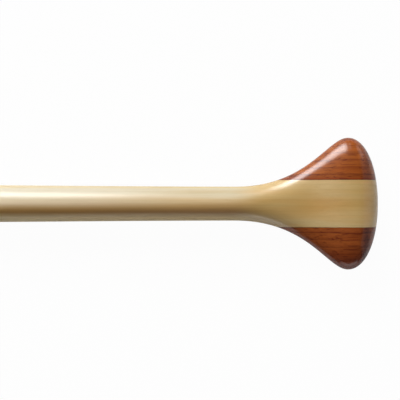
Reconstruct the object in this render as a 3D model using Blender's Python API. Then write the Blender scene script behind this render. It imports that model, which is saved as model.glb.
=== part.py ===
"""Laminated canoe paddle: palm grip, oval shaft and rounded blade, carved from one glued-up blank.

The long axis is X, with the grip's end at +X and the blade's tip at -X. Z is up through the
blade's faces, and Z = 0 is the plane that the paddle lies on. Y = 0 is the plane of symmetry.
The carved form is lofted once. Each board of the blank is that form inside the board's own box,
so the boards meet on flat glue faces, as they do when a blank is glued up and then carved.
"""

import bmesh
import bpy
import numpy as np

# Whole paddle, in metres
PADDLE_LENGTH = 1.448
GLUE_LINE = 0.0003

# Palm grip, seen on its face: half a superellipse across the end, then a flank down to the neck
GRIP_HALF_WIDTH = 0.05635
GRIP_WIDEST_FROM_END = 0.0255
GRIP_END_SQUARENESS = 2.1
GRIP_FLANK_LENGTH = 0.0966
GRIP_FLANK_HANDLE = 0.0173
GRIP_NECK_HANDLE = 0.0622

# Palm grip, seen from its edge: a rounded end, a palm roll, a thumb scoop, then the neck
ROLL_HALF_THICKNESS = 0.017
ROLL_FROM_END = 0.0195
SCOOP_HALF_THICKNESS = 0.0118
ROLL_TO_SCOOP = 0.0445
SCOOP_TO_NECK = 0.071
GRIP_FULLNESS = 2.6

# Oval shaft, which swells from the neck towards the middle
NECK_HALF_WIDTH = 0.0145
NECK_HALF_THICKNESS = 0.0158
SHAFT_HALF_WIDTH = 0.016
SHAFT_HALF_THICKNESS = 0.0165
SHAFT_SWELL_LENGTH = 0.278

# Blade, seen on its face: half a superellipse round the tip, then shoulders up to the throat
BLADE_HALF_WIDTH = 0.1016
BLADE_WIDEST_FROM_TIP = 0.205
BLADE_TIP_SQUARENESS = 2.35
SHOULDER_LENGTH = 0.340
SHOULDER_HANDLE = 0.125
THROAT_HANDLE = 0.150

# Blade, in section: a flat plate with eased edges, and a spine that dies away towards the tip
PLATE_HALF_THICKNESS = 0.0036
PLATE_EDGE_SHARPNESS = 16.0
SPINE_HALF_WIDTH = 0.034
SPINE_END_FROM_TIP = 0.130
SPINE_LENGTH = 0.455
SPINE_TIP_HANDLE = 0.170
SPINE_THROAT_HANDLE = 0.200
OVAL_TO_PLATE_LENGTH = 0.145

# Boards of the blank: beside the centre board, red boards take turns with pale stringers
CENTRE_BOARD_WIDTH = 0.040
STRINGER_WIDTH = 0.010
STRINGERS_A_SIDE = 2

# Resin edge cast round the tip
GUARD_WIDTH = 0.0045
GUARD_REACH_FROM_TIP = 0.240
GUARD_RUN_OUT = 0.030
RUN_OUT_CLEARANCE = 0.002

# Fineness of the mesh
TIP_STATIONS = 13
SHOULDER_STATIONS = 17
SHAFT_STATIONS = 9
FLANK_STATIONS = 22
CREST_STATIONS = 2
END_STATIONS = 9
POINTS_PER_QUARTER = 12
CENTRE_CROWDING = 1.3
CURVE_SAMPLES = 400
GUARD_SAMPLES = 50

GRIP_END = PADDLE_LENGTH / 2
BLADE_TIP = -PADDLE_LENGTH / 2
MIDDLE_Z = max(SHAFT_HALF_THICKNESS, NECK_HALF_THICKNESS, ROLL_HALF_THICKNESS)
GRIP_NECK_FROM_END = GRIP_WIDEST_FROM_END + GRIP_FLANK_LENGTH
SHAFT_SWELL_FROM_END = GRIP_NECK_FROM_END + SHAFT_SWELL_LENGTH
SCOOP_FROM_END = ROLL_FROM_END + ROLL_TO_SCOOP
THICK_NECK_FROM_END = SCOOP_FROM_END + SCOOP_TO_NECK
THROAT_FROM_TIP = BLADE_WIDEST_FROM_TIP + SHOULDER_LENGTH
SPINE_START_FROM_TIP = SPINE_END_FROM_TIP + SPINE_LENGTH
BOARDED_HALF_WIDTH = BLADE_HALF_WIDTH - GUARD_WIDTH
RED_HALF_WIDTH = BOARDED_HALF_WIDTH - CENTRE_BOARD_WIDTH / 2 - STRINGERS_A_SIDE * STRINGER_WIDTH
RED_BOARD_WIDTH = RED_HALF_WIDTH / (STRINGERS_A_SIDE + 1)
PAST_THE_SURFACE = BLADE_HALF_WIDTH

LIGHT_WOOD = ("light_basswood", (0.62, 0.43, 0.20, 1.0), 0.32)
RED_WOOD = ("red_cedar", (0.36, 0.115, 0.030, 1.0), 0.32)
EDGE_RESIN = ("edge_resin", (0.10, 0.045, 0.018, 1.0), 0.28)


def clear_scene():
    for thing in list(bpy.data.objects):
        bpy.data.objects.remove(thing, do_unlink=True)


def new_collection(name):
    collection = bpy.data.collections.new(name)
    bpy.context.scene.collection.children.link(collection)
    return collection


def new_material(name, colour, roughness):
    material = bpy.data.materials.new(name)
    material.use_nodes = True
    shader = material.node_tree.nodes["Principled BSDF"]
    shader.inputs["Base Color"].default_value = colour
    shader.inputs["Roughness"].default_value = roughness
    shader.inputs["Metallic"].default_value = 0.0
    return material


def smooth(share):
    """0 to 1 with level ends."""
    share = np.clip(share, 0.0, 1.0)
    return share * share * (3.0 - 2.0 * share)


def ease(first, last, share):
    """From the first size to the last, level at both ends."""
    return first + (last - first) * smooth(share)


def level_curve(place, start, length, end, start_handle, end_handle):
    """A size that runs from start to end over a length, as a cubic Bezier level at both ends."""
    t = np.linspace(0.0, 1.0, CURVE_SAMPLES)
    weights = np.array([(1 - t) ** 3, 3 * t * (1 - t) ** 2, 3 * t * t * (1 - t), t**3])
    along = np.array([0.0, start_handle, length - end_handle, length])
    sizes = np.array([start, start, end, end])
    return np.interp(place, along @ weights, sizes @ weights)


def rounded_end(distance, reach, squareness):
    """0 at the end of a form, 1 at reach from it and beyond, rounded as a superellipse."""
    from_full = np.clip(1.0 - distance / reach, 0.0, 1.0)
    return (1.0 - from_full**squareness) ** (1.0 / squareness)


def eased_end(distance, reach, sharpness):
    """0 at the end of a form, 1 at reach from it and beyond, flatter for a greater sharpness."""
    from_full = np.clip(1.0 - distance / reach, 0.0, 1.0)
    return np.sqrt(1.0 - from_full**sharpness)


def half_width(x):
    """Half the paddle's width on its face at x."""
    from_end = GRIP_END - x
    from_tip = x - BLADE_TIP
    end = GRIP_HALF_WIDTH * rounded_end(from_end, GRIP_WIDEST_FROM_END, GRIP_END_SQUARENESS)
    flank = level_curve(
        from_end - GRIP_WIDEST_FROM_END,
        GRIP_HALF_WIDTH,
        GRIP_FLANK_LENGTH,
        NECK_HALF_WIDTH,
        GRIP_FLANK_HANDLE,
        GRIP_NECK_HANDLE,
    )
    shaft = ease(NECK_HALF_WIDTH, SHAFT_HALF_WIDTH, (from_end - GRIP_NECK_FROM_END) / SHAFT_SWELL_LENGTH)
    shoulder = level_curve(
        from_tip - BLADE_WIDEST_FROM_TIP,
        BLADE_HALF_WIDTH,
        SHOULDER_LENGTH,
        SHAFT_HALF_WIDTH,
        SHOULDER_HANDLE,
        THROAT_HANDLE,
    )
    tip = BLADE_HALF_WIDTH * rounded_end(from_tip, BLADE_WIDEST_FROM_TIP, BLADE_TIP_SQUARENESS)
    return np.select(
        [
            from_end < GRIP_WIDEST_FROM_END,
            from_end < GRIP_NECK_FROM_END,
            from_tip < BLADE_WIDEST_FROM_TIP,
            from_tip < THROAT_FROM_TIP,
        ],
        [end, flank, tip, shoulder],
        shaft,
    )


def centre_half_thickness(x):
    """Half the paddle's thickness on its centreline at x, before the ends are rounded off."""
    from_end = GRIP_END - x
    from_tip = x - BLADE_TIP
    scoop = ease(ROLL_HALF_THICKNESS, SCOOP_HALF_THICKNESS, (from_end - ROLL_FROM_END) / ROLL_TO_SCOOP)
    rise = ease(SCOOP_HALF_THICKNESS, NECK_HALF_THICKNESS, (from_end - SCOOP_FROM_END) / SCOOP_TO_NECK)
    shaft = ease(
        NECK_HALF_THICKNESS,
        SHAFT_HALF_THICKNESS,
        (from_end - THICK_NECK_FROM_END) / (SHAFT_SWELL_FROM_END - THICK_NECK_FROM_END),
    )
    spine = level_curve(
        from_tip - SPINE_END_FROM_TIP,
        PLATE_HALF_THICKNESS,
        SPINE_LENGTH,
        SHAFT_HALF_THICKNESS,
        SPINE_TIP_HANDLE,
        SPINE_THROAT_HANDLE,
    )
    return np.select(
        [from_end < SCOOP_FROM_END, from_end < THICK_NECK_FROM_END, from_tip < SPINE_START_FROM_TIP],
        [scoop, rise, spine],
        shaft,
    )


def half_thickness(x, across):
    """Half the thickness at x, for points whose place across is a share of the half width."""
    from_end = GRIP_END - x
    from_tip = x - BLADE_TIP
    across = np.abs(across)
    centre = centre_half_thickness(x)
    fullness = ease(2.0, GRIP_FULLNESS, (GRIP_NECK_FROM_END - from_end) / GRIP_FLANK_LENGTH)
    oval = centre * np.sqrt(1.0 - across**fullness)

    plate = PLATE_HALF_THICKNESS * np.sqrt(1.0 - across**PLATE_EDGE_SHARPNESS)
    from_spine = np.clip(across * half_width(x) / SPINE_HALF_WIDTH, 0.0, 1.0)
    spine = (centre - PLATE_HALF_THICKNESS) * (1.0 - from_spine**2) ** 2
    section = ease(oval, plate + spine, (THROAT_FROM_TIP - from_tip) / OVAL_TO_PLATE_LENGTH)

    palm_end = rounded_end(from_end, ROLL_FROM_END, 2.0)
    blade_end = eased_end(from_tip, BLADE_WIDEST_FROM_TIP, PLATE_EDGE_SHARPNESS)
    return section * palm_end * blade_end


def stations():
    """Places along X where the form has a section, closer together where it turns fastest."""
    tip_turn = np.linspace(0.0, np.pi / 2, TIP_STATIONS + 1)[1:]
    end_turn = np.linspace(np.pi / 2, 0.0, END_STATIONS + 1)[1:-1]
    blade_top = max(THROAT_FROM_TIP, SPINE_START_FROM_TIP)
    neck = max(GRIP_NECK_FROM_END, THICK_NECK_FROM_END)
    near_crest, far_crest = sorted((GRIP_WIDEST_FROM_END, ROLL_FROM_END))
    tip = BLADE_TIP + BLADE_WIDEST_FROM_TIP * (1.0 - np.cos(tip_turn))
    shoulder = BLADE_TIP + np.linspace(BLADE_WIDEST_FROM_TIP, blade_top, SHOULDER_STATIONS + 1)[1:]
    shaft = np.linspace(shoulder[-1], GRIP_END - neck, SHAFT_STATIONS + 1)[1:]
    flank = np.linspace(shaft[-1], GRIP_END - far_crest, FLANK_STATIONS + 1)[1:]
    crest = np.linspace(flank[-1], GRIP_END - near_crest, CREST_STATIONS + 1)[1:]
    end = GRIP_END - near_crest * (1.0 - np.cos(end_turn))
    return np.concatenate([tip, shoulder, shaft, flank, crest, end])


def carved_form():
    """The whole paddle as one closed loft of its sections, with a point at each end."""
    quarter = np.linspace(0.0, 1.0, POINTS_PER_QUARTER + 1)
    out = np.sin(np.pi / 2 * quarter**CENTRE_CROWDING)
    upper = np.concatenate([out[::-1], -out[1:]])
    lower = -upper[1:-1]
    across = np.concatenate([upper, lower])
    face = np.concatenate([np.ones(len(upper)), -np.ones(len(lower))])
    count = len(across)

    form = bmesh.new()
    rings = []
    for x in stations():
        ys = half_width(x) * across
        zs = MIDDLE_Z + face * half_thickness(x, across)
        rings.append([form.verts.new((x, y, z)) for y, z in zip(ys, zs)])
    for near, far in zip(rings, rings[1:]):
        for i in range(count):
            following = (i + 1) % count
            form.faces.new((near[i], near[following], far[following], far[i]))
    for pole_x, ring in ((BLADE_TIP, rings[0]), (GRIP_END, rings[-1])):
        pole = form.verts.new((pole_x, 0.0, MIDDLE_Z))
        for i in range(count):
            form.faces.new((pole, ring[(i + 1) % count], ring[i]))
    bmesh.ops.triangulate(form, faces=form.faces)
    bmesh.ops.recalc_face_normals(form, faces=form.faces)
    mesh = bpy.data.meshes.new("carved_form")
    form.to_mesh(mesh)
    form.free()
    mesh.shade_smooth()
    return mesh


def as_cutter(cutter, collection):
    """Keeps an object for cutting alone: drawn as wires, and left out of a render."""
    for holder in list(cutter.users_collection):
        holder.objects.unlink(cutter)
    collection.objects.link(cutter)
    cutter.hide_render = True
    cutter.display_type = "WIRE"
    return cutter


def board_cutter(name, low_x, high_x, low_y, high_y, collection):
    """The box of a board of the blank, which is thicker than anything carved from it."""
    low = np.array([low_x, low_y, -PAST_THE_SURFACE])
    high = np.array([high_x, high_y, 2 * MIDDLE_Z + PAST_THE_SURFACE])
    bpy.ops.mesh.primitive_cube_add(size=1.0, location=(low + high) / 2)
    cutter = bpy.context.object
    cutter.name = name
    cutter.scale = high - low
    bpy.ops.object.transform_apply(location=False, rotation=False, scale=True)
    return as_cutter(cutter, collection)


def outline_inside_guard(inset):
    """The plan outline of what lies inside the resin edge, that far in from the blade's edge."""
    turn = np.linspace(0.0, np.pi / 2, GUARD_SAMPLES)
    from_tip = GUARD_REACH_FROM_TIP * (1.0 - np.cos(turn))
    x = BLADE_TIP + from_tip
    y = half_width(x)
    along = np.gradient(np.column_stack([x, y]), axis=0)
    along[0] = (0.0, 1.0)
    along /= np.linalg.norm(along, axis=1)[:, None]
    run_out_start = GUARD_REACH_FROM_TIP - GUARD_RUN_OUT
    depth = ease(inset, -RUN_OUT_CLEARANCE, (from_tip - run_out_start) / GUARD_RUN_OUT)
    x = x + along[:, 1] * depth
    y = np.clip(y - along[:, 0] * depth, 0.0, None)
    left = np.column_stack([x, y])
    right = np.column_stack([x, -y])[::-1]
    wide = BLADE_HALF_WIDTH + PAST_THE_SURFACE
    beyond = GRIP_END + PAST_THE_SURFACE
    corners = [(x[-1], wide), (beyond, wide), (beyond, -wide), (x[-1], -wide)]
    return np.concatenate([left, corners, right[:-1]])


def outline_cutter(name, outline, collection):
    """A flat outline made thicker than the paddle, as a mesh that can cut."""
    curve = bpy.data.curves.new(name, "CURVE")
    curve.dimensions = "2D"
    curve.fill_mode = "BOTH"
    curve.extrude = MIDDLE_Z + PAST_THE_SURFACE
    spline = curve.splines.new("POLY")
    spline.points.add(len(outline) - 1)
    for point, (x, y) in zip(spline.points, outline):
        point.co = (x, y, 0.0, 1.0)
    spline.use_cyclic_u = True
    drawn = bpy.data.objects.new(name + "_curve", curve)
    drawn.location = (0.0, 0.0, MIDDLE_Z)
    collection.objects.link(drawn)
    bpy.context.view_layer.update()
    evaluated = drawn.evaluated_get(bpy.context.evaluated_depsgraph_get())
    mesh = bpy.data.meshes.new_from_object(evaluated)
    solid = bmesh.new()
    solid.from_mesh(mesh)
    bmesh.ops.remove_doubles(solid, verts=solid.verts, dist=1e-6)
    bmesh.ops.recalc_face_normals(solid, faces=solid.faces)
    solid.to_mesh(mesh)
    solid.free()
    cutter = bpy.data.objects.new(name, mesh)
    cutter.matrix_world = drawn.matrix_world
    bpy.data.objects.remove(drawn, do_unlink=True)
    collection.objects.link(cutter)
    return as_cutter(cutter, collection)


def carved_piece(name, form, material, cuts, collection):
    """One piece of the paddle: the carved form with the piece's own cuts."""
    piece = bpy.data.objects.new(name, form.copy())
    piece.data.materials.append(material)
    collection.objects.link(piece)
    for cutter, operation in cuts:
        modifier = piece.modifiers.new(cutter.name, "BOOLEAN")
        modifier.operation = operation
        modifier.object = cutter
    return piece


def boards_beside_centre():
    """Each blade board on one side as (is it red, inner face, outer face), the last past the edge."""
    inner = CENTRE_BOARD_WIDTH / 2
    boards = []
    for _ in range(STRINGERS_A_SIDE):
        stringer = inner + RED_BOARD_WIDTH
        boards.append((True, inner, stringer))
        inner = stringer + STRINGER_WIDTH
        boards.append((False, stringer, inner))
    boards.append((True, inner, BLADE_HALF_WIDTH + PAST_THE_SURFACE))
    return boards


def build():
    clear_scene()
    paddle = new_collection("canoe_paddle")
    cutters = new_collection("cutters")
    light, red, resin = (new_material(*finish) for finish in (LIGHT_WOOD, RED_WOOD, EDGE_RESIN))
    form = carved_form()
    half_glue = GLUE_LINE / 2
    left_end = BLADE_TIP - PAST_THE_SURFACE
    right_end = GRIP_END + PAST_THE_SURFACE
    middle_x = (BLADE_TIP + THROAT_FROM_TIP + GRIP_END - GRIP_NECK_FROM_END) / 2

    guard_edge = outline_cutter("guard_inside", outline_inside_guard(GUARD_WIDTH - half_glue), cutters)
    wood_edge = outline_cutter("wood_outside", outline_inside_guard(GUARD_WIDTH + half_glue), cutters)
    carved_piece("tip_guard", form, resin, [(guard_edge, "DIFFERENCE")], paddle)

    core = CENTRE_BOARD_WIDTH / 2 - half_glue
    core_board = board_cutter("centre_board", left_end, right_end, -core, core, cutters)
    carved_piece(
        "centre_stave", form, light, [(core_board, "INTERSECT"), (wood_edge, "INTERSECT")], paddle
    )

    for side, hand in ((1, "left"), (-1, "right")):
        reach = GRIP_HALF_WIDTH + PAST_THE_SURFACE
        faces = sorted((side * (CENTRE_BOARD_WIDTH / 2 + half_glue), side * reach))
        wing_board = board_cutter(f"wing_board_{hand}", middle_x, right_end, *faces, cutters)
        carved_piece(f"grip_wing_{hand}", form, red, [(wing_board, "INTERSECT")], paddle)

        for number, (is_red, inner, outer) in enumerate(boards_beside_centre(), start=1):
            faces = sorted((side * (inner + half_glue), side * (outer - half_glue)))
            board = board_cutter(f"blade_board_{hand}_{number}", left_end, middle_x, *faces, cutters)
            carved_piece(
                f"blade_stave_{hand}_{number}",
                form,
                red if is_red else light,
                [(board, "INTERSECT"), (wood_edge, "INTERSECT")],
                paddle,
            )
    bpy.data.meshes.remove(form)


build()
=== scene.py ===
"""The canoe paddle as it looks: carved boards with their grain, a resin edge, and a pale studio.

The shape follows the same rule as the solids. Here it is evaluated in a node tree, finely enough
for a gloss finish, and the boards meet without a glue gap. Lengths are in metres.
"""

import math

import bmesh
import bpy
import numpy as np
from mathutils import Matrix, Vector


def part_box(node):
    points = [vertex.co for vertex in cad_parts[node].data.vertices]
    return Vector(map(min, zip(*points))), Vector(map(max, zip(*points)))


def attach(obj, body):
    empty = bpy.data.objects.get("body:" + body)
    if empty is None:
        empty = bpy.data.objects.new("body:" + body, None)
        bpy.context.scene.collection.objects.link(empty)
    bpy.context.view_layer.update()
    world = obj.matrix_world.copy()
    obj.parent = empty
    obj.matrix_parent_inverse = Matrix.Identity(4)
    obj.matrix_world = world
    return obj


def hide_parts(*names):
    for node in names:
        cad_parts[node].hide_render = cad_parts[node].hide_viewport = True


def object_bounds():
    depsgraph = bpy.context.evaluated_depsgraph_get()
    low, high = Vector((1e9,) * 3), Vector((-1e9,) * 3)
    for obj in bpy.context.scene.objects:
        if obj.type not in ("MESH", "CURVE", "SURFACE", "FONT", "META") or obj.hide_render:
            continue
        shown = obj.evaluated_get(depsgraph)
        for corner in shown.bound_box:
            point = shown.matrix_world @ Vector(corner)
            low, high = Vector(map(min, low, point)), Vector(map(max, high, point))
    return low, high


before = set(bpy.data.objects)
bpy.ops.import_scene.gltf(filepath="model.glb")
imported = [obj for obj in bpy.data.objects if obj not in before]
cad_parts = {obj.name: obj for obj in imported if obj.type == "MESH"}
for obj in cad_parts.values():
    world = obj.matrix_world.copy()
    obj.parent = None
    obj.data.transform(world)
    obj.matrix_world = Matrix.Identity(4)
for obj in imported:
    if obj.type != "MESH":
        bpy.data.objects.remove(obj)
cad_low, cad_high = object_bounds()

# The form that was carved. Its length, its width and its middle height come from the frame.
SIZES = {
    "grip_end": cad_high[0],
    "blade_tip": cad_low[0],
    "middle_z": (cad_low[2] + cad_high[2]) / 2,
    "grip_half_width": 0.05635,
    "grip_widest_from_end": 0.0255,
    "grip_end_squareness": 2.1,
    "grip_flank_length": 0.0966,
    "grip_flank_handle": 0.0173,
    "grip_neck_handle": 0.0622,
    "roll_half_thickness": (cad_high[2] - cad_low[2]) / 2,
    "roll_from_end": 0.0195,
    "scoop_half_thickness": 0.0118,
    "roll_to_scoop": 0.0445,
    "scoop_to_neck": 0.071,
    "grip_fullness": 2.6,
    "neck_half_width": 0.0145,
    "neck_half_thickness": 0.0158,
    "shaft_half_width": 0.016,
    "shaft_half_thickness": 0.0165,
    "shaft_swell_length": 0.278,
    "blade_half_width": (cad_high[1] - cad_low[1]) / 2,
    "blade_widest_from_tip": 0.205,
    "blade_tip_squareness": 2.35,
    "shoulder_length": 0.340,
    "shoulder_handle": 0.125,
    "throat_handle": 0.150,
    "plate_half_thickness": 0.0036,
    "plate_edge_sharpness": 16.0,
    "spine_half_width": 0.034,
    "spine_end_from_tip": 0.130,
    "spine_length": 0.455,
    "spine_tip_handle": 0.170,
    "spine_throat_handle": 0.200,
    "oval_to_plate_length": 0.145,
}

# Resin edge round the tip, and the glue lines that the solids keep open
GUARD_WIDTH = 0.0045
GUARD_REACH_FROM_TIP = 0.240
GUARD_RUN_OUT = 0.030
RUN_OUT_CLEARANCE = 0.002
GLUE_LINE = 0.0003

# Step between sections along the paddle: places from the grip's end, and the step at each, then
# the limits of the meshing and of the searches, and the squareness of a plain ellipse
STEP_PLACES = (0.0, 0.02, 0.13, 0.22, 0.70, 0.90, 1.45)
STEPS = (0.0004, 0.0006, 0.0009, 0.0060, 0.0060, 0.0030, 0.0025)
STEP_ROUNDING = 0.010
WELD_DISTANCE = 0.00002
SHARP_ANGLE = math.radians(38)
EDGE_HAIR = 1e-5
NEWTON_STEPS = 5
HALVINGS = 50
FINE_PLACES = 6001
ELLIPSE = 2.0

# The photograph's framing: a long lens straight above the grip's face
CAMERA_LENS = 100.0
CAMERA_SENSOR = 36.0
CAMERA_HEIGHT = 0.95
CAMERA_PLACE = (0.57215, 0.00308)

# The pale floor: how white the camera sees it, how much white the varnish mirrors from it, and
# the faint light from all round
FLOOR_SIZE = 60.0
FLOOR_COLOUR = (0.9, 0.9, 0.9)
SEEN_WHITE = 0.97
MIRRORED_WHITE = 0.10
SKY = 0.005
WHITE = (1.0, 1.0, 1.0)

# Soft boxes: place, the point they face, width and height, how far their glow spreads, watts
LAMPS = {
    "key": ((-0.36, 2.2, 1.4), (-0.36, 0.0, 1.4), (2.3, 2.5), (0.78, 0.66), 212.0),
    "left_high": ((-1.5, 2.2, 2.3), (-1.5, 0.0, 2.3), (0.5, 0.6), None, 30.0),
    "right_side": ((0.8, 2.2, 1.2), (0.8, 0.0, 1.2), (0.6, 1.2), None, 2.0),
    "shaft_top": ((0.0, 0.15, 1.3), (0.0, 0.15, 0.0), (0.3, 0.5), None, 2.6),
    "end_wall": ((2.0, 0.2, 0.9), (0.0, 0.2, 0.9), (2.6, 1.7), None, 4.2),
    "end_side": ((1.3, 0.7, 0.3), (0.6, 0.0, 0.02), (0.5, 0.5), (0.2, 0.2), 0.9),
    "back_low": ((0.8, -0.85, 0.15), (0.8, 0.0, 0.15), (0.9, 0.3), (0.45, 0.2), 1.0),
}

# Fade of a soft box's glow: how square it is along the width, and how level in the middle
GLOW_SQUARENESS = 4
GLOW_LEVELNESS = 1.5

# Woods: the colour of a year's pale wood, the tints of its late wood, of its deeper streaks and of
# the grip's end (end grain with painted shade), how strongly its rings and fibres show, and its
# sheen
CEDAR = {
    "ground": (0.47, 0.124, 0.019),
    "late_tint": (0.40, 0.28, 0.40),
    "deep_tint": (0.88, 0.72, 0.60),
    "ring_step": 0.0061,
    "ring_depth": 0.85,
    "ring_wander": 0.0030,
    "fibre_depth": 0.95,
    "thread_depth": 0.60,
    "cloud_depth": 0.55,
    "sheen": 0.18,
    "ior": 1.5,
}
BASSWOOD = {
    "ground": (0.70, 0.470, 0.180),
    "late_tint": (0.76, 0.68, 0.52),
    "deep_tint": (0.97, 0.84, 0.62),
    "end_tint": (1.0, 0.93, 0.86),
    "ring_step": 0.0043,
    "ring_depth": 0.35,
    "ring_wander": 0.0040,
    "fibre_depth": 0.50,
    "thread_depth": 0.12,
    "cloud_depth": 0.45,
    "sheen": 1.0,
    "ior": 1.55,
}

# Noises: cells to a unit, detail and roughness. The place is stretched along the board first.
FIBRE_STRETCH = (0.035, 1.0, 1.0)
RING_STRETCH = (0.20, 1.0, 1.0)
WANDER_NOISE = (45.0, 2.0, 0.5)
CLOUD_NOISE = (70.0, 2.0, 0.5)
DEEP_NOISE = (120.0, 2.0, 0.5)
STREAK_NOISE = (330.0, 2.0, 0.5)
THREAD_NOISE = (800.0, 1.0, 0.5)
FIBRE_NOISE = (1500.0, 3.0, 0.6)
RESIN_NOISE = (90.0, 3.0, 0.5)

# Grain: the noise levels where threads and deeper streaks begin and how far they fade in, how
# late wood gathers before a year's end, and the share of its tint that is everywhere
THREAD_LEVEL = 0.58
THREAD_FADE = 0.10
DEEP_LEVEL = 0.40
DEEP_FADE = 0.25
DEEP_SHARE = 0.6
LATE_SHARPNESS = 7
LATE_BREAK = 0.05
LEAST_VIGOUR = 0.5
EVEN_SHARE = 0.20
BUMP_STRENGTH = 0.15
BUMP_DISTANCE = 0.0001

# The long board's colours across the shaft and the grip, from -Y to +Y, which paint light and
# shade: the shaft's pale lower rim is a painted reflection, the browner band below its middle is
# painted shade, its paler upper side is a painted sheen, with a golden line along its upper edge,
# and the grip's stripe is painted lighter along its lower side.
SHAFT_TONES_WITH_PAINTED_LIGHT = (
    (0.00, (0.98, 0.80, 0.44)),
    (0.14, (0.98, 0.75, 0.38)),
    (0.28, (0.52, 0.27, 0.072)),
    (0.42, (0.70, 0.45, 0.175)),
    (0.58, (0.80, 0.60, 0.315)),
    (0.76, (0.64, 0.57, 0.39)),
    (0.88, (0.69, 0.60, 0.425)),
    (0.93, (0.72, 0.56, 0.27)),
    (1.00, (0.74, 0.56, 0.24)),
)
GRIP_TONES_WITH_PAINTED_LIGHT = (
    (0.00, (0.82, 0.590, 0.270)),
    (0.20, (0.82, 0.595, 0.270)),
    (0.45, (0.74, 0.510, 0.198)),
    (0.80, (0.76, 0.525, 0.203)),
    (1.00, (0.77, 0.530, 0.212)),
)
STRIPE_HALF_WIDTH = 0.020

# Where the shaft's tones end towards the grip, and how far they fade there and at the throat
SHAFT_TONES_END = 0.630
SHAFT_TONES_FADE = 0.035
THROAT_TONES_FADE = 0.150

# Past this place the shaft has its own varnish and a painted sheen on its lit side, a blend
# towards white which begins below its middle
FAR_SHAFT_END = 0.570
FAR_SHAFT_FADE = 0.110
FAR_PAINTED_SHEEN = (1.0, 1.0, 0.92)
FAR_PAINTED_SHEEN_SHARE = 0.17
FAR_PAINTED_SHEEN_LOW = 0.0065
FAR_PAINTED_SHEEN_FADE = 0.008

# A warm streak in the grip's stripe, and the glue lines beside it
STREAK_PLACE = (0.679, -0.002)
STREAK_REACH = (0.021, 0.005)
STREAK_TINT = (1.0, 0.84, 0.56)
GLUE_COLOUR = (0.12, 0.020, 0.006)
GLUE_HALF_WIDTH = 0.0010
GLUE_SHARE = 0.75

# The wings: their own grounds, their end tints (end grain and painted shade), and a darker band
# round one place on Y, which on the right wing is painted shade along its lower outer part
WING_GROUNDS = {"left": (0.47, 0.124, 0.019), "right": (0.45, 0.112, 0.023)}
WING_END_GRAIN_AND_SHADE_TINTS = {"left": (0.68, 0.62, 0.80), "right": (0.42, 0.31, 0.34)}
WING_DARK_BANDS = {"left": (0.020, 0.0065), "right": (-0.055, 0.024)}
DARK_BAND_TINT = (0.70, 0.54, 0.66)

# The grip's end is tinted from that far from its end, on all its boards: partly end grain and
# partly painted shade where the end turns from the light. The tint clears again at the rim, which
# paints the rim lighter.
END_GRAIN_AND_SHADE_REACH = 0.019
END_GRAIN_AND_SHADE_FADE = 0.008
END_RIM_REACH = 0.011
END_RIM_FADE = 0.005
END_RIM_PAINTED_LIGHT = 0.55

# Varnish on the grip, on the blade and on the far shaft: the weight of its coat, and the
# roughness under it, which the fibres vary
GRIP_COAT = 1.0
GRIP_ROUGHNESS = 0.42
BLADE_COAT = 0.10
BLADE_ROUGHNESS = 0.55
FAR_COAT = 0.05
FAR_ROUGHNESS = 0.38
FIBRE_ROUGHNESS = 0.15
COAT_ROUGHNESS = 0.10
COAT_IOR = 1.5

# Cast resin: its darkest and its palest brown, and its gloss
RESIN_COLOURS = ((0.070, 0.030, 0.012), (0.130, 0.060, 0.024))
RESIN_ROUGHNESS = 0.22
RESIN_CLOUD_ROUGHNESS = 0.1
RESIN_COAT_ROUGHNESS = 0.05

# Columns of faces across a piece, and where the pith of each board's tree lies on Y and Z
STAVE_COLUMNS = 40
BLADE_COLUMNS = 16
GUARD_COLUMNS = 10
CENTRE_PITH = (-0.30, 0.05)
WING_PITH = (0.2425, 0.03)
BLADE_PITH = (0.03, -0.09)
BLADE_BOARDS_A_SIDE = 5


class Tree:
    """A node tree that is being built, for a material, a light, the world or a modifier."""

    def __init__(self, nodes):
        self.nodes = nodes

    def add(self, kind, settings=None, sockets=None):
        """Adds a node: its settings first, then the values or links of its sockets."""
        node = self.nodes.nodes.new(kind)
        for name, value in (settings or {}).items():
            if name == "stops":
                self.set_stops(node.color_ramp, value)
            else:
                setattr(node, name, value)
        for key, value in (sockets or {}).items():
            self.plug(self.find(node.inputs, key), value)
        return node

    @staticmethod
    def find(sockets, key):
        if isinstance(key, int):
            return sockets[key]
        return next(s for s in sockets if s.name == key and s.enabled)

    @staticmethod
    def set_stops(ramp, stops):
        while len(ramp.elements) < len(stops):
            ramp.elements.new(1.0)
        for element, (place, colour) in zip(ramp.elements, stops):
            element.position = place
            element.color = (*colour, 1.0)

    def plug(self, socket, value):
        if isinstance(value, Value):
            self.nodes.links.new(value.socket, socket)
        elif isinstance(value, bpy.types.NodeSocket):
            self.nodes.links.new(value, socket)
        elif socket.type == "RGBA" and len(value) == 3:
            socket.default_value = (*value, 1.0)
        else:
            socket.default_value = value

    def value(self, node, key=0):
        return Value(self, self.find(node.outputs, key))

    def stretch(self, place, scale):
        """The place with each of its parts scaled, so that what it steers runs along the board."""
        return self.add("ShaderNodeMapping", None, {"Vector": place, "Scale": scale}).outputs[0]

    def noise(self, place, scale, detail, roughness):
        """Soft noise from 0 to 1 round 0.5, with that many cells to a unit of the place."""
        sockets = {"Vector": place, "Scale": scale, "Detail": detail, "Roughness": roughness}
        return self.value(self.add("ShaderNodeTexNoise", None, sockets))

    def blend(self, first, second, share, way="MIX"):
        """Two colours mixed, by a share that may vary."""
        settings = {"data_type": "RGBA", "blend_type": way}
        sockets = {"Factor": share, "A": first, "B": second}
        return self.find(self.add("ShaderNodeMix", settings, sockets).outputs, "Result")


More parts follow.
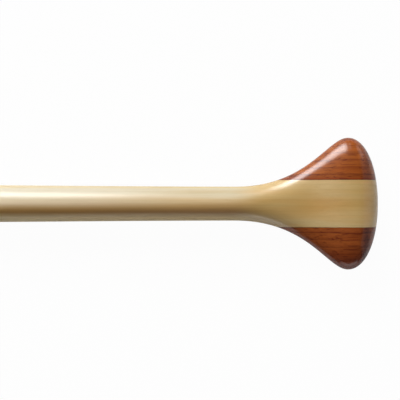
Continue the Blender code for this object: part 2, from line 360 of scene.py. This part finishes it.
class Value:
    """A number that a node gives. Python's arithmetic on it adds Math nodes."""

    __array_ufunc__ = None

    def __init__(self, tree, socket):
        self.tree = tree
        self.socket = socket

    def __add__(self, other):
        return calc("ADD", self, other)

    def __radd__(self, other):
        return calc("ADD", other, self)

    def __sub__(self, other):
        return calc("SUBTRACT", self, other)

    def __rsub__(self, other):
        return calc("SUBTRACT", other, self)

    def __mul__(self, other):
        return calc("MULTIPLY", self, other)

    def __rmul__(self, other):
        return calc("MULTIPLY", other, self)

    def __truediv__(self, other):
        return calc("DIVIDE", self, other)

    def __rtruediv__(self, other):
        return calc("DIVIDE", other, self)

    def __pow__(self, other):
        return calc("POWER", self, other)

    def __lt__(self, other):
        return calc("LESS_THAN", self, other)

    def __gt__(self, other):
        return calc("GREATER_THAN", self, other)

    def __abs__(self):
        return calc("ABSOLUTE", self)


PLAIN_MATHS = {
    "MINIMUM": np.minimum,
    "MAXIMUM": np.maximum,
    "SQRT": np.sqrt,
    "COSINE": np.cos,
    "FLOOR": np.floor,
}


def calc(operation, *parts):
    """One step of arithmetic: a Math node if any part comes from a node, or else plain numbers."""
    trees = [part.tree for part in parts if isinstance(part, Value)]
    if not trees:
        return PLAIN_MATHS[operation](*parts)
    node = trees[0].add("ShaderNodeMath", {"operation": operation}, dict(enumerate(parts)))
    return trees[0].value(node)


def clip(value, low=0.0, high=1.0):
    return calc("MINIMUM", calc("MAXIMUM", value, low), high)


def choose(test, yes, no):
    return no + (yes - no) * test


def smooth(share):
    """0 to 1 with level ends."""
    share = clip(share)
    return share * share * (3.0 - 2.0 * share)


def ease(first, last, share):
    """From the first size to the last, level at both ends."""
    return first + (last - first) * smooth(share)


def level_curve(place, start, length, end, start_handle, end_handle):
    """A size that runs from start to end over a length, as a cubic Bezier level at both ends."""
    share = clip(place / length)
    near = 3.0 * start_handle / length
    far = 3.0 * (length - end_handle) / length
    turn = share
    for _ in range(NEWTON_STEPS):
        rest = 1.0 - turn
        along = turn * (near * rest * rest + turn * (far * rest + turn))
        rate = near * rest * (1.0 - 3.0 * turn) + turn * (far * (2.0 - 3.0 * turn) + 3.0 * turn)
        turn = clip(turn - (along - share) / rate)
    return ease(start, end, turn)


def rounded_end(distance, reach, squareness):
    """0 at the end of a form, 1 at reach from it and beyond, rounded as a superellipse."""
    return clip(1.0 - clip(1.0 - distance / reach) ** squareness) ** (1.0 / squareness)


def eased_end(distance, reach, sharpness):
    """0 at the end of a form, 1 at reach from it and beyond, flatter for a greater sharpness."""
    return calc("SQRT", 1.0 - clip(1.0 - distance / reach) ** sharpness)


class CarvedForm:
    """The rule of the paddle's shape. Its sizes are plain numbers or the inputs of a node tree."""

    def __init__(self, sizes):
        self.__dict__.update(sizes)

    def half_width(self, x):
        """Half the paddle's width on its face at x."""
        from_end = self.grip_end - x
        from_tip = x - self.blade_tip
        neck = self.grip_widest_from_end + self.grip_flank_length
        throat = self.blade_widest_from_tip + self.shoulder_length
        end = self.grip_half_width * rounded_end(
            from_end, self.grip_widest_from_end, self.grip_end_squareness
        )
        flank = level_curve(
            from_end - self.grip_widest_from_end,
            self.grip_half_width,
            self.grip_flank_length,
            self.neck_half_width,
            self.grip_flank_handle,
            self.grip_neck_handle,
        )
        shaft = ease(
            self.neck_half_width,
            self.shaft_half_width,
            (from_end - neck) / self.shaft_swell_length,
        )
        shoulder = level_curve(
            from_tip - self.blade_widest_from_tip,
            self.blade_half_width,
            self.shoulder_length,
            self.shaft_half_width,
            self.shoulder_handle,
            self.throat_handle,
        )
        tip = self.blade_half_width * rounded_end(
            from_tip, self.blade_widest_from_tip, self.blade_tip_squareness
        )
        blade = choose(from_tip < self.blade_widest_from_tip, tip, shoulder)
        grip = choose(from_end < self.grip_widest_from_end, end, flank)
        return choose(from_end < neck, grip, choose(from_tip < throat, blade, shaft))

    def centre_half_thickness(self, x):
        """Half the thickness on the centreline at x, before the ends are rounded off."""
        from_end = self.grip_end - x
        from_tip = x - self.blade_tip
        scoop_place = self.roll_from_end + self.roll_to_scoop
        neck = scoop_place + self.scoop_to_neck
        swell_end = self.grip_widest_from_end + self.grip_flank_length + self.shaft_swell_length
        spine_start = self.spine_end_from_tip + self.spine_length
        scoop = ease(
            self.roll_half_thickness,
            self.scoop_half_thickness,
            (from_end - self.roll_from_end) / self.roll_to_scoop,
        )
        rise = ease(
            self.scoop_half_thickness,
            self.neck_half_thickness,
            (from_end - scoop_place) / self.scoop_to_neck,
        )
        shaft = ease(
            self.neck_half_thickness,
            self.shaft_half_thickness,
            (from_end - neck) / (swell_end - neck),
        )
        spine = level_curve(
            from_tip - self.spine_end_from_tip,
            self.plate_half_thickness,
            self.spine_length,
            self.shaft_half_thickness,
            self.spine_tip_handle,
            self.spine_throat_handle,
        )
        grip = choose(from_end < scoop_place, scoop, rise)
        return choose(from_end < neck, grip, choose(from_tip < spine_start, spine, shaft))

    def half_thickness(self, x, y):
        """Half the thickness at a place on the paddle's face."""
        from_end = self.grip_end - x
        from_tip = x - self.blade_tip
        width = self.half_width(x)
        across = clip(abs(y) / calc("MAXIMUM", width, EDGE_HAIR) * (1.0 + EDGE_HAIR))
        centre = self.centre_half_thickness(x)
        neck = self.grip_widest_from_end + self.grip_flank_length
        throat = self.blade_widest_from_tip + self.shoulder_length
        on_flank = (neck - from_end) / self.grip_flank_length
        fullness = ease(ELLIPSE, self.grip_fullness, on_flank)
        oval = centre * calc("SQRT", 1.0 - across**fullness)

        plate = self.plate_half_thickness * calc("SQRT", 1.0 - across**self.plate_edge_sharpness)
        from_spine = clip(across * width / self.spine_half_width)
        fall = 1.0 - from_spine * from_spine
        spine = (centre - self.plate_half_thickness) * fall * fall
        section = ease(oval, plate + spine, (throat - from_tip) / self.oval_to_plate_length)

        palm_end = rounded_end(from_end, self.roll_from_end, ELLIPSE)
        blade_end = eased_end(from_tip, self.blade_widest_from_tip, self.plate_edge_sharpness)
        return section * palm_end * blade_end


PADDLE = CarvedForm(SIZES)
THROAT_X = PADDLE.blade_tip + PADDLE.blade_widest_from_tip + PADDLE.shoulder_length
NECK_X = PADDLE.grip_end - PADDLE.grip_widest_from_end - PADDLE.grip_flank_length


def title(name):
    return name.replace("_", " ").title()


def carving_tree():
    """The tree that carves a board from its flat plan: the form's two faces between its edges.

    A board's plan holds its low edge's points, then as many on its high edge. Each pair of points
    gets one section: across the upper face, down the wall, back across the lower face and up.
    """
    nodes = bpy.data.node_groups.new("carved_board", "GeometryNodeTree")
    interface = nodes.interface
    interface.new_socket("Plan", in_out="INPUT", socket_type="NodeSocketGeometry")
    interface.new_socket("Columns", in_out="INPUT", socket_type="NodeSocketInt")
    interface.new_socket("Finish", in_out="INPUT", socket_type="NodeSocketMaterial")
    interface.new_socket("Weld Distance", in_out="INPUT", socket_type="NodeSocketFloat")
    for name, size in SIZES.items():
        made = interface.new_socket(title(name), in_out="INPUT", socket_type="NodeSocketFloat")
        made.default_value = size
    interface.new_socket("Board", in_out="OUTPUT", socket_type="NodeSocketGeometry")

    tree = Tree(nodes)
    given = tree.add("NodeGroupInput")
    plan = tree.find(given.outputs, "Plan")
    columns = tree.value(given, "Columns")
    form = CarvedForm({name: tree.value(given, title(name)) for name in SIZES})

    settings = {"component": "MESH"}
    counted = tree.add("GeometryNodeAttributeDomainSize", settings, {"Geometry": plan})
    rows = tree.value(counted, "Point Count") / 2
    around = 2 * columns + 3
    grid = tree.add("GeometryNodeMeshGrid", None, {"Vertices X": rows, "Vertices Y": around})
    index = tree.value(tree.add("GeometryNodeInputIndex"))
    row = calc("FLOOR", (index + 0.5) / around)
    column = index - row * around
    # Column numbers are compared halfway between two of them, so that rounding can't tip a test
    is_lower = (column > columns + 0.5) * (column < 2 * columns + 1.5)
    step = choose(is_lower, 2 * columns + 1 - column, column)
    step = choose(column > 2 * columns + 1.5, 0.0, step)
    share = (1.0 - calc("COSINE", math.pi * step / columns)) / 2

    place = tree.find(tree.add("GeometryNodeInputPosition").outputs, "Position")
    edges = []
    for first in (row, row + rows):
        settings = {"data_type": "FLOAT_VECTOR", "domain": "POINT"}
        sockets = {"Geometry": plan, "Value": place, "Index": first}
        sample = tree.add("GeometryNodeSampleIndex", settings, sockets)
        split = tree.add("ShaderNodeSeparateXYZ", None, {0: tree.find(sample.outputs, "Value")})
        edges.append((tree.value(split, "X"), tree.value(split, "Y")))
    (low_x, low_y), (high_x, high_y) = edges
    x = low_x + (high_x - low_x) * share
    y = low_y + (high_y - low_y) * share
    half = form.half_thickness(x, y)
    z = form.middle_z + choose(is_lower, -1.0, 1.0) * half

    point = tree.add("ShaderNodeCombineXYZ", None, {"X": x, "Y": y, "Z": z})
    sockets = {"Geometry": tree.find(grid.outputs, "Mesh"), "Position": point.outputs[0]}
    moved = tree.add("GeometryNodeSetPosition", None, sockets)
    sockets = {"Geometry": moved.outputs[0], "Distance": tree.value(given, "Weld Distance")}
    welded = tree.add("GeometryNodeMergeByDistance", None, sockets)
    real = tree.add("GeometryNodeRealizeInstances", None, {"Geometry": welded.outputs[0]})
    finish = tree.find(given.outputs, "Finish")
    sockets = {"Geometry": real.outputs[0], "Material": finish}
    painted = tree.add("GeometryNodeSetMaterial", None, sockets)
    tree.add("NodeGroupOutput", None, {"Board": painted.outputs[0]})
    return nodes


def sections(low, high):
    """Places along X between a board's ends, closer at its ends and where the outline turns."""
    turn = np.linspace(0.0, np.pi, FINE_PLACES)
    fine = low + (high - low) * (1.0 - np.cos(turn)) / 2
    middle = (fine[1:] + fine[:-1]) / 2
    step = np.interp(PADDLE.grip_end - middle, STEP_PLACES, STEPS)
    to_end = np.minimum(middle - low, high - middle)
    step = step * np.sqrt(np.minimum(1.0, to_end / STEP_ROUNDING))
    count = np.concatenate([[0.0], np.cumsum(np.diff(fine) / step)])
    places = np.interp(np.linspace(0.0, count[-1], math.ceil(count[-1]) + 1), count, fine)
    return places.astype(np.float32).astype(float)


def guard_edges():
    """The resin edge's outer and inner outline on one side, from the tip to where it runs out."""
    reach = PADDLE.blade_tip + GUARD_REACH_FROM_TIP
    run_out = reach - GUARD_RUN_OUT
    x = sections(PADDLE.blade_tip, reach + STEP_ROUNDING)
    outer = np.column_stack([x, PADDLE.half_width(x)])
    along = np.gradient(outer, axis=0)
    along[0] = (0.0, 1.0)
    along /= np.linalg.norm(along, axis=1)[:, None]
    depth = ease(GUARD_WIDTH, -RUN_OUT_CLEARANCE, (x - run_out) / GUARD_RUN_OUT)
    kept = depth > 0.0
    inner = outer + depth[:, None] * np.column_stack([along[:, 1], -along[:, 0]])
    return outer[kept], inner[kept]


GUARD_OUTER, GUARD_INNER = guard_edges()


def wood_half_width(x):
    """Half the width of the wood on the face at x, inside the resin edge."""
    inside = np.interp(x, GUARD_INNER[:, 0], GUARD_INNER[:, 1], right=PADDLE.blade_half_width)
    return np.minimum(inside, PADDLE.half_width(x))


def crossing(y, inside, outside):
    """The place on X between one inside the wood and one outside it where its edge is at y."""
    for _ in range(HALVINGS):
        middle = (inside + outside) / 2
        if wood_half_width(np.array([middle]))[0] > y:
            inside = middle
        else:
            outside = middle
    return inside


def plan_mesh(name, low_edge, high_edge):
    """A flat ribbon between two edges, which the tree carves."""
    points = np.concatenate([low_edge, high_edge])
    rows = len(low_edge)
    mesh = bpy.data.meshes.new(name)
    corners = [(i, i + 1, rows + i + 1, rows + i) for i in range(rows - 1)]
    mesh.from_pydata([(x, y, PADDLE.middle_z) for x, y in points], [], corners)
    return mesh


def carve(name, plan, columns, material, tree):
    """Runs the tree on a plan and keeps its result as a closed mesh, smooth but for its walls."""
    guide = bpy.data.objects.new(name + "_plan", plan)
    bpy.context.scene.collection.objects.link(guide)
    modifier = guide.modifiers.new("carving", "NODES")
    modifier.node_group = tree
    items = [item for item in tree.interface.items_tree if item.in_out == "INPUT"]
    inputs = {item.name: item.identifier for item in items}
    modifier[inputs["Columns"]] = columns
    modifier[inputs["Finish"]] = material
    modifier[inputs["Weld Distance"]] = WELD_DISTANCE
    bpy.context.view_layer.update()
    evaluated = guide.evaluated_get(bpy.context.evaluated_depsgraph_get())
    mesh = bpy.data.meshes.new_from_object(evaluated)
    guide.modifiers.remove(modifier)
    bpy.data.objects.remove(guide, do_unlink=True)

    solid = bmesh.new()
    solid.from_mesh(mesh)
    bmesh.ops.recalc_face_normals(solid, faces=solid.faces)
    solid.to_mesh(mesh)
    solid.free()
    mesh.shade_smooth()
    mesh.set_sharp_from_angle(angle=SHARP_ANGLE)
    piece = bpy.data.objects.new(name, mesh)
    bpy.context.scene.collection.objects.link(piece)
    return piece


def board_plan(name, low_x, high_x, low_face, high_face):
    """The plan of a board between two glue faces, as far as the wood's edge."""
    x = sections(low_x, high_x)
    edge = wood_half_width(x)
    low = np.clip(low_face, -edge, edge)
    high = np.clip(high_face, -edge, edge)
    return plan_mesh(name, np.column_stack([x, low]), np.column_stack([x, high]))


def guard_plan(name):
    """The plan of the resin edge: along one side from where it starts, round the tip and back."""
    mirror = np.array([1.0, -1.0])
    outer = np.concatenate([GUARD_OUTER[::-1], GUARD_OUTER[1:] * mirror])
    inner = np.concatenate([GUARD_INNER[::-1], GUARD_INNER[1:] * mirror])
    return plan_mesh(name, inner, outer)


def keep(piece, node):
    """The piece stands for a node of the frame: it hangs on the root body and hides the node."""
    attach(piece, "root")
    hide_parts(node)


def new_material(name):
    material = bpy.data.materials.new(name)
    material.use_nodes = True
    material.node_tree.nodes.clear()
    return material, Tree(material.node_tree)


def long_board_ground_with_painted_light(tree, x, y, on_shaft):
    """The long board's ground colour, with painted light and shade across the shaft and the grip's
    stripe, and a warm streak in the grip.
    """
    painted_grounds = []
    painted_tones = ((STRIPE_HALF_WIDTH, GRIP_TONES_WITH_PAINTED_LIGHT), (PADDLE.shaft_half_thickness, SHAFT_TONES_WITH_PAINTED_LIGHT))
    for half, stops in painted_tones:
        across = clip((y / half + 1.0) / 2)
        ramp = tree.add("ShaderNodeValToRGB", {"stops": stops}, {"Fac": across})
        painted_grounds.append(ramp.outputs["Color"])
    ground = tree.blend(*painted_grounds, on_shaft)
    along = (x - STREAK_PLACE[0]) / STREAK_REACH[0]
    aside = (y - STREAK_PLACE[1]) / STREAK_REACH[1]
    streak = calc("EXPONENT", (along * along + aside * aside) * -0.5)
    return tree.blend(ground, STREAK_TINT, streak, "MULTIPLY")


def late_wood(tree, slow, y, z, pith, wood):
    """How much late wood a place has: most just before its year's end, and more in some years."""
    wander = (tree.noise(slow, *WANDER_NOISE) - 0.5) * wood["ring_wander"]
    from_pith = calc("SQRT", (y - pith[0]) ** 2 + (z - pith[1]) ** 2) + wander
    ring = from_pith / wood["ring_step"]
    year = calc("FLOOR", ring)
    season = ring - year
    chance = tree.add("ShaderNodeTexWhiteNoise", {"noise_dimensions": "1D"}, {"W": year})
    vigour = LEAST_VIGOUR + tree.value(chance)
    return season**LATE_SHARPNESS * smooth((1.0 - season) / LATE_BREAK) * vigour


def varnished_wood(name, wood, pith, glue_faces=(), dark_band=None, is_long=False):
    """Wood under varnish, which is glossy on the grip and satin further down.

    Its year rings run round the pith, a line along X at that Y and Z.
    """
    material, tree = new_material(name)
    place = tree.add("ShaderNodeTexCoord").outputs["Object"]
    fine = tree.stretch(place, FIBRE_STRETCH)
    slow = tree.stretch(place, RING_STRETCH)
    split = tree.add("ShaderNodeSeparateXYZ", None, {0: place})
    x = tree.value(split, "X")
    y = tree.value(split, "Y")
    z = tree.value(split, "Z") - PADDLE.middle_z

    ground = wood["ground"]
    on_grip = smooth((x - SHAFT_TONES_END) / SHAFT_TONES_FADE + 1.0)
    coat = BLADE_COAT + (GRIP_COAT - BLADE_COAT) * on_grip
    roughness = BLADE_ROUGHNESS + (GRIP_ROUGHNESS - BLADE_ROUGHNESS) * on_grip
    if is_long:
        before_grip = smooth((SHAFT_TONES_END - x) / SHAFT_TONES_FADE)
        on_shaft = before_grip * smooth((x - THROAT_X) / THROAT_TONES_FADE)
        # This ground holds painted light and shade across the shaft and the grip's stripe
        ground = long_board_ground_with_painted_light(tree, x, y, on_shaft)
        far_down = on_shaft * smooth((FAR_SHAFT_END - x) / FAR_SHAFT_FADE)
        coat = coat + (FAR_COAT - BLADE_COAT) * far_down
        roughness = roughness + (FAR_ROUGHNESS - BLADE_ROUGHNESS) * far_down

    fibre = tree.noise(fine, *FIBRE_NOISE) - 0.5
    streak = tree.noise(fine, *STREAK_NOISE) - 0.5
    cloud = tree.noise(slow, *CLOUD_NOISE) - 0.5
    thread = smooth((tree.noise(fine, *THREAD_NOISE) - THREAD_LEVEL) / THREAD_FADE)
    share = EVEN_SHARE + late_wood(tree, slow, y, z, pith, wood) * wood["ring_depth"]
    share = share + (fibre + streak) * wood["fibre_depth"]
    share = clip(share + cloud * wood["cloud_depth"] + thread * wood["thread_depth"])
    colour = tree.blend(ground, wood["late_tint"], share, "MULTIPLY")
    # The grip's end: end grain and painted shade, cleared at the rim as a painted lighter rim
    if "end_tint" in wood:
        end_grain_and_shade = smooth((x - PADDLE.grip_end + END_GRAIN_AND_SHADE_REACH) / END_GRAIN_AND_SHADE_FADE)
        painted_lit_rim = smooth((x - PADDLE.grip_end + END_RIM_REACH) / END_RIM_FADE)
        share = end_grain_and_shade - END_RIM_PAINTED_LIGHT * painted_lit_rim
        colour = tree.blend(colour, wood["end_tint"], share, "MULTIPLY")
    deep = smooth((tree.noise(fine, *DEEP_NOISE) - DEEP_LEVEL) / DEEP_FADE)
    colour = tree.blend(colour, wood["deep_tint"], deep * DEEP_SHARE, "MULTIPLY")
    if is_long:
        # Painted sheen: the far shaft's lit side is blended towards white
        lit_side = smooth((y + FAR_PAINTED_SHEEN_LOW) / FAR_PAINTED_SHEEN_FADE)
        colour = tree.blend(colour, FAR_PAINTED_SHEEN, far_down * lit_side * FAR_PAINTED_SHEEN_SHARE)
    # A darker band round one place on Y; on the right wing it is painted shade along its lower
    # outer part
    if dark_band:
        share = 1.0 - smooth(abs(y - dark_band[0]) / dark_band[1])
        colour = tree.blend(colour, DARK_BAND_TINT, share, "MULTIPLY")
    for face in glue_faces:
        line = 1.0 - smooth(abs(y - face) / GLUE_HALF_WIDTH)
        colour = tree.blend(colour, GLUE_COLOUR, line * GLUE_SHARE)

    sockets = {"Strength": BUMP_STRENGTH, "Distance": BUMP_DISTANCE, "Height": fibre}
    grain = tree.add("ShaderNodeBump", None, sockets)
    sockets = {
        "Base Color": colour,
        "Roughness": roughness + fibre * FIBRE_ROUGHNESS,
        "IOR": wood["ior"],
        "Specular IOR Level": wood["sheen"],
        "Normal": grain.outputs[0],
        "Coat Weight": coat,
        "Coat Roughness": COAT_ROUGHNESS,
        "Coat IOR": COAT_IOR,
    }
    shader = tree.add("ShaderNodeBsdfPrincipled", None, sockets)
    tree.add("ShaderNodeOutputMaterial", None, {"Surface": shader.outputs[0]})
    return material


def cast_resin(name):
    material, tree = new_material(name)
    place = tree.add("ShaderNodeTexCoord").outputs["Object"]
    cloud = tree.noise(place, *RESIN_NOISE)
    sockets = {
        "Base Color": tree.blend(*RESIN_COLOURS, cloud),
        "Roughness": RESIN_ROUGHNESS + cloud * RESIN_CLOUD_ROUGHNESS,
        "Coat Weight": 1.0,
        "Coat Roughness": RESIN_COAT_ROUGHNESS,
    }
    shader = tree.add("ShaderNodeBsdfPrincipled", None, sockets)
    tree.add("ShaderNodeOutputMaterial", None, {"Surface": shader.outputs[0]})
    return material


def make_paddle():
    tree = carving_tree()
    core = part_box("centre_stave")[1][1] + GLUE_LINE / 2
    foot = PADDLE.blade_tip + GUARD_WIDTH
    stave = board_plan("centre_stave", foot, PADDLE.grip_end, -core, core)
    light = varnished_wood("light_wood_centre", BASSWOOD, CENTRE_PITH, is_long=True)
    piece = carve("carved_centre_stave", stave, STAVE_COLUMNS, light, tree)
    keep(piece, "centre_stave")

    widest = PADDLE.grip_end - PADDLE.grip_widest_from_end
    blade_widest = PADDLE.blade_tip + PADDLE.blade_widest_from_tip
    for side, hand in ((1, "left"), (-1, "right")):
        low_x = crossing(core, widest, NECK_X)
        high_x = crossing(core, widest, PADDLE.grip_end)
        faces = sorted((side * core, side * 2 * PADDLE.grip_half_width))
        plan = board_plan("wing", low_x, high_x, *faces)
        pith = (-side * WING_PITH[0], WING_PITH[1])
        cedar = CEDAR | {"ground": WING_GROUNDS[hand], "end_tint": WING_END_GRAIN_AND_SHADE_TINTS[hand]}
        name = f"red_wood_wing_{hand}"
        wood = varnished_wood(name, cedar, pith, (side * core,), WING_DARK_BANDS[hand])
        piece = carve(f"carved_grip_wing_{hand}", plan, STAVE_COLUMNS, wood, tree)
        keep(piece, f"grip_wing_{hand}")

        for number in range(1, BLADE_BOARDS_A_SIDE + 1):
            node = f"blade_stave_{hand}_{number}"
            node_low, node_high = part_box(node)
            faces = sorted((abs(node_low[1]), abs(node_high[1])))
            inner = faces[0] - GLUE_LINE / 2
            is_last = number == BLADE_BOARDS_A_SIDE
            outer = PADDLE.blade_half_width if is_last else faces[1] + GLUE_LINE / 2
            low_x = crossing(inner, blade_widest, PADDLE.blade_tip)
            high_x = crossing(inner, blade_widest, THROAT_X)
            plan = board_plan(node, low_x, high_x, *sorted((side * inner, side * outer)))
            wood, slot = (CEDAR, "red_wood") if number % 2 else (BASSWOOD, "light_wood")
            pith = (side * BLADE_PITH[0] * number, BLADE_PITH[1])
            finish = varnished_wood(f"{slot}_{hand}_{number}", wood, pith)
            keep(carve("carved_" + node, plan, BLADE_COLUMNS, finish, tree), node)

    resin = cast_resin("edge_resin")
    guard = carve("cast_tip_guard", guard_plan("tip_guard"), GUARD_COLUMNS, resin, tree)
    keep(guard, "tip_guard")


def make_floor():
    """A plain pale floor that takes the shadow. The camera sees it almost white."""
    bpy.ops.mesh.primitive_plane_add(size=FLOOR_SIZE)
    floor = bpy.context.object
    floor.name = "floor"
    material, tree = new_material("pale_floor")
    rays = tree.add("ShaderNodeLightPath")
    seen = clip(tree.value(rays, "Is Camera Ray") + tree.value(rays, "Is Transmission Ray"))
    mirrored = tree.value(rays, "Is Glossy Ray")
    plain = tree.add("ShaderNodeBsdfDiffuse", None, {"Color": FLOOR_COLOUR})
    white = tree.add("ShaderNodeEmission", None, {"Color": WHITE, "Strength": 1.0})
    share = clip(seen * SEEN_WHITE + mirrored * MIRRORED_WHITE)
    sockets = {0: share, 1: plain.outputs[0], 2: white.outputs[0]}
    mixed = tree.add("ShaderNodeMixShader", None, sockets)
    tree.add("ShaderNodeOutputMaterial", None, {"Surface": mixed.outputs[0]})
    floor.data.materials.append(material)


def soft_box(name, place, aim, size, spread, power):
    """A soft box. With a spread, its glow is level in the middle and fades out over about that."""
    lamp = bpy.data.lights.new(name, "AREA")
    lamp.shape = "RECTANGLE"
    lamp.size, lamp.size_y = size
    lamp.energy = power
    lamp.use_nodes = True
    lamp.node_tree.nodes.clear()
    tree = Tree(lamp.node_tree)
    strength = 1.0
    if spread:
        spot = tree.add("ShaderNodeNewGeometry").outputs["Parametric"]
        split = tree.add("ShaderNodeSeparateXYZ", None, {0: spot})
        u = abs(tree.value(split, "X") - 0.5) * size[0] / spread[0]
        v = (tree.value(split, "Y") - 0.5) * size[1] / spread[1]
        strength = calc("EXPONENT", (u**GLOW_SQUARENESS + v * v) ** GLOW_LEVELNESS * -0.5)
    glow = tree.add("ShaderNodeEmission", None, {"Color": WHITE, "Strength": strength})
    tree.add("ShaderNodeOutputLight", None, {"Surface": glow.outputs[0]})
    holder = bpy.data.objects.new(name, lamp)
    holder.location = place
    holder.rotation_euler = (Vector(aim) - Vector(place)).to_track_quat("-Z", "Y").to_euler()
    holder.visible_camera = False
    bpy.context.scene.collection.objects.link(holder)


def make_lights():
    for name, row in LAMPS.items():
        soft_box(name, *row)
    world = bpy.data.worlds.new("studio")
    bpy.context.scene.world = world
    world.use_nodes = True
    world.node_tree.nodes.clear()
    tree = Tree(world.node_tree)
    sky = tree.add("ShaderNodeBackground", None, {"Color": WHITE, "Strength": SKY})
    tree.add("ShaderNodeOutputWorld", None, {"Surface": sky.outputs[0]})


def make_camera():
    lens = bpy.data.cameras.new("camera")
    lens.lens = CAMERA_LENS
    lens.sensor_width = CAMERA_SENSOR
    camera = bpy.data.objects.new("camera", lens)
    camera.location = (*CAMERA_PLACE, PADDLE.middle_z + CAMERA_HEIGHT)
    bpy.context.scene.collection.objects.link(camera)
    bpy.context.scene.camera = camera


make_camera()
make_paddle()
make_floor()
make_lights()
bpy.context.scene.view_settings.view_transform = "Standard"
